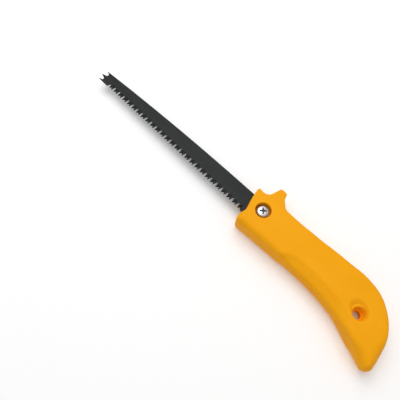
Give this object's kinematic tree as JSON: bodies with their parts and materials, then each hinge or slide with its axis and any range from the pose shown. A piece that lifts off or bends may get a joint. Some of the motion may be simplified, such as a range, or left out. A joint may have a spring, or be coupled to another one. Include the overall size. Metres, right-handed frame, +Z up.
{
  "type": "drywall jab saw",
  "caption": "Hand jab saw for wallboard: narrow toothed blade with a three-spike auger tip, clamped by a screw in a hooked moulded handle with a hanging hole.",
  "frame": {"origin": "on the surface the saw lies on, under the centre of its bounding box", "axes": "+X from the auger tip to the butt of the handle, +Y from the teeth to the back, +Z up on the clamp screw's side"},
  "size_m": [0.3086, 0.0556, 0.019],
  "materials": {
    "handle_plastic": "satin moulded orange",
    "blade_steel": "satin black coating",
    "fastener_steel": "bright zinc plating"
  },
  "bodies": {
    "handle": {"screw_side_shell": "handle_plastic", "nut_side_shell": "handle_plastic", "clamp_nut": "fastener_steel"},
    "blade": {"saw_blade": "blade_steel"},
    "washer": {"captive_washer": "fastener_steel"},
    "screw": {"clamp_screw": "fastener_steel"}
  },
  "joints": [
    {"name": "blade_slide", "type": "slide", "parent": "handle", "child": "blade", "axis": [-1, 0, 0], "range_m": [0, 0.026]},
    {"name": "screw_lift", "type": "slide", "parent": "handle", "child": "washer", "axis": [0, 0, 1], "range_m": [0, 0.004]},
    {"name": "screw_turn", "type": "hinge", "parent": "washer", "child": "screw", "pos_m": [0.03199, 0.00462, 0.0147], "axis": [0, 0, 1], "range_deg": [0, 1802]}
  ],
  "couplings": [
    {"joint": "screw_turn", "follows": "screw_lift", "rad_per_m": 7854}
  ]
}
